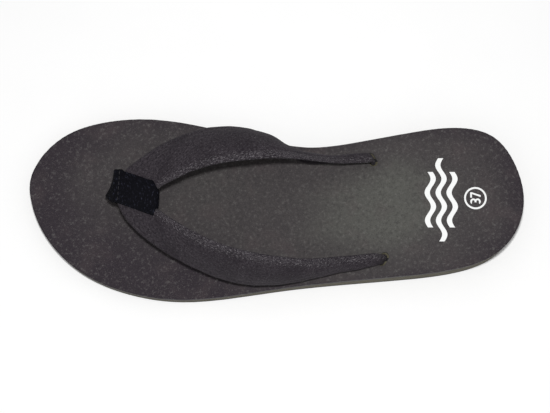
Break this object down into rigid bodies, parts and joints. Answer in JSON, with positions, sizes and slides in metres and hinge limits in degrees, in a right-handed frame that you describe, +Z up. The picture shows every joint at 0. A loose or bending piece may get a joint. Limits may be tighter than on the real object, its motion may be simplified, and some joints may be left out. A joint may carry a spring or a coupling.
{
  "type": "flip flop",
  "caption": "Left-foot flip flop: laminated foam sole that flexes at the ball of the foot, padded fabric strap arms and a fabric toe post on hidden anchors.",
  "frame": {"origin": "on the ground under the middle of the sole's length", "axes": "+X to the toe, +Y to the lateral (outer) side of the left foot, +Z up"},
  "size_m": [0.2471, 0.0921, 0.0468],
  "materials": {
    "footbed_foam": "matte, fine grained closed-cell foam",
    "midsole_foam": "matte cut foam edge, olive grey",
    "outsole_rubber": "matte, grooved tread",
    "white_print": "screen-printed ink, matte",
    "anchor_plastic": "moulded, matte",
    "webbing": "plain woven webbing",
    "wrap_fabric": "close woven, slight sheen",
    "strap_fabric": "coarse woven cover with light flecks",
    "strap_lining": "soft brushed lining",
    "padding_foam": "open foam",
    "thread": "polyester thread"
  },
  "bodies": {
    "rear_sole": {"footbed_rear": "footbed_foam", "midsole_rear": "midsole_foam", "outsole_rear": "outsole_rubber", "size_ring_print": "white_print", "size_digits_print": "white_print", "heel_print": "white_print", "lateral_anchor_disc": "anchor_plastic", "lateral_anchor_webbing": "webbing", "medial_anchor_disc": "anchor_plastic", "medial_anchor_webbing": "webbing"},
    "forefoot": {"footbed_front": "footbed_foam", "midsole_front": "midsole_foam", "outsole_front": "outsole_rubber", "toe_anchor_disc": "anchor_plastic", "toe_stem_webbing": "webbing"},
    "toe_post": {"toe_post_sleeve": "wrap_fabric", "toe_post_cord": "webbing"},
    "strap_yoke": {"strap_junction": "strap_fabric", "toe_wrap": "wrap_fabric", "wrap_stitches": "thread"},
    "lateral_arm": {"lateral_cover": "strap_fabric", "lateral_padding": "padding_foam", "lateral_core_tape": "webbing", "lateral_lining": "strap_lining", "lateral_seam_stitches": "thread"},
    "medial_arm": {"medial_cover": "strap_fabric", "medial_padding": "padding_foam", "medial_core_tape": "webbing", "medial_lining": "strap_lining", "medial_seam_stitches": "thread"}
  },
  "joints": [
    {"name": "toe_flex", "type": "hinge", "parent": "rear_sole", "child": "forefoot", "pos_m": [0.044, 0, 0.01098], "axis": [0, -1, 0], "range_deg": [0, 35]},
    {"name": "post_lean", "type": "hinge", "parent": "forefoot", "child": "toe_post", "pos_m": [0.077, -0.004, 0.01043], "axis": [0, -1, 0], "range_deg": [-39, 0]},
    {"name": "strap_pitch", "type": "hinge", "parent": "toe_post", "child": "strap_yoke", "pos_m": [0.074, -0.004, 0.02843], "axis": [0, -1, 0], "range_deg": [0, 13]},
    {"name": "lateral_swing", "type": "hinge", "parent": "strap_yoke", "child": "lateral_arm", "pos_m": [0.0565, 0.016, 0.0295], "axis": [-0.9851, 0.12, -0.1233], "range_deg": [-28, 10]},
    {"name": "medial_swing", "type": "hinge", "parent": "strap_yoke", "child": "medial_arm", "pos_m": [0.0565, -0.012, 0.032], "axis": [-0.9851, -0.0819, -0.1511], "range_deg": [-12, 28]}
  ],
  "couplings": [
    {"joint": "post_lean", "follows": "toe_flex", "ratio": -1.11},
    {"joint": "strap_pitch", "follows": "toe_flex", "ratio": 0.36}
  ]
}
